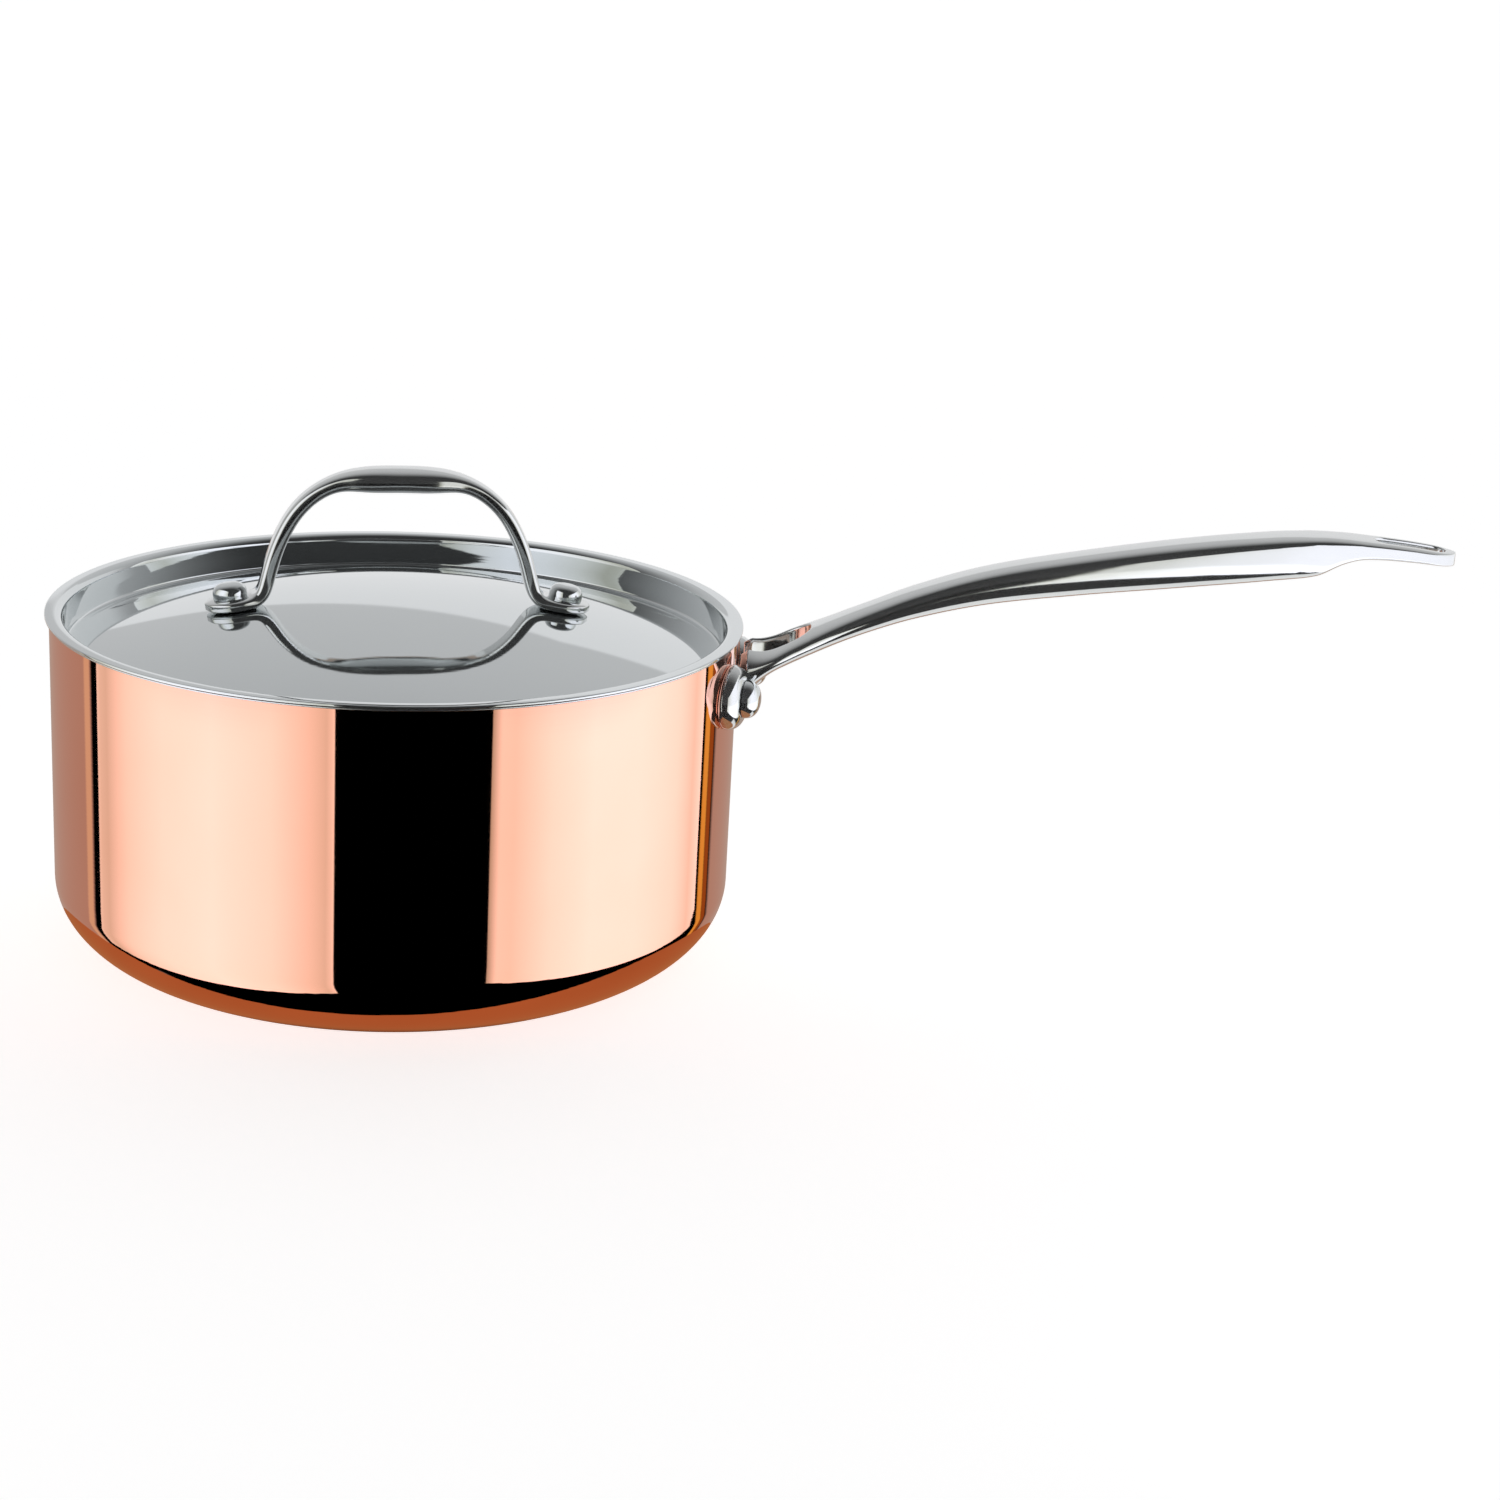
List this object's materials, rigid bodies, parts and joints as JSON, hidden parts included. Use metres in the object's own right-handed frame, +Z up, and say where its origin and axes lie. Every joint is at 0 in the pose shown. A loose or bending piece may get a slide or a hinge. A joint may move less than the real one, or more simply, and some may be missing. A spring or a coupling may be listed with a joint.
{
  "type": "saucepan with lid",
  "caption": "Straight-sided copper saucepan with steel lining, long forked riveted handle with hanging slot, and a domed polished steel lid with a riveted loop handle.",
  "frame": {"origin": "centre of the pan's flat underside", "axes": "+X runs out from the pan along the long handle, +Z is up through the lid, and +Y completes the right-handed set"},
  "size_m": [0.3996, 0.2, 0.1408],
  "materials": {
    "copper": "mirror-polished copper",
    "lining_steel": "satin spun stainless steel",
    "cast_steel": "mirror-polished cast stainless steel",
    "rivet_steel": "polished stainless steel",
    "lid_steel": "mirror-polished stainless steel sheet"
  },
  "bodies": {
    "pan": {"copper_shell": "copper", "steel_liner": "lining_steel", "long_handle": "cast_steel", "handle_rivet_front": "rivet_steel", "handle_rivet_back": "rivet_steel"},
    "lid": {"lid": "lid_steel", "lid_handle": "cast_steel", "lid_rivet_left": "rivet_steel", "lid_rivet_right": "rivet_steel"}
  },
  "joints": [
    {"name": "lid_lift", "type": "slide", "parent": "pan", "child": "lid", "axis": [0, 0, 1], "range_m": [0, 0.1]}
  ]
}
